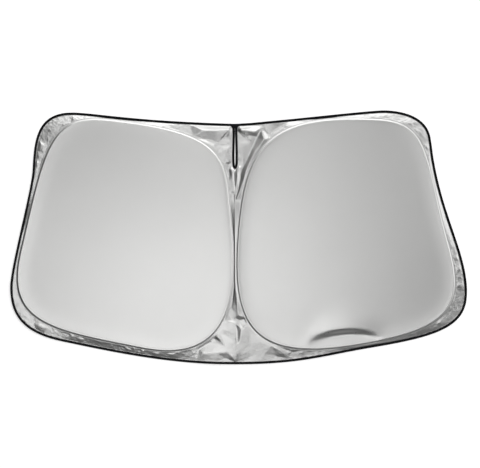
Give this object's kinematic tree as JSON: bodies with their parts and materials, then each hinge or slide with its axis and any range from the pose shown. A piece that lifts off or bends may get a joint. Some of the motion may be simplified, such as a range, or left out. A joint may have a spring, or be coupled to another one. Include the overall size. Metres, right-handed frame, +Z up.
{
  "type": "windscreen sunshade",
  "caption": "Folding windscreen sunshade: silver cloth stretched by two spring steel hoops, bound in black tape, with a slit for the mirror stalk.",
  "frame": {"origin": "middle of the sunshade's outline, on the surface that it lies on", "axes": "+Z up out of the silver face, +Y to the roof edge of the windscreen with the mirror slit, +X to the right seen from above"},
  "size_m": [1.502, 0.835, 0.0108],
  "materials": {
    "silver_coating": "satin",
    "black_tape": "matte",
    "sleeve_cloth": "satin",
    "spring_steel": "satin"
  },
  "bodies": {
    "root": {"silver_cloth": "silver_coating", "edge_binding": "black_tape", "left_hoop_sleeve": "sleeve_cloth", "right_hoop_sleeve": "sleeve_cloth", "left_hoop_wire": "spring_steel", "right_hoop_wire": "spring_steel", "left_hoop_ferrule": "spring_steel", "right_hoop_ferrule": "spring_steel"}
  },
  "joints": []
}
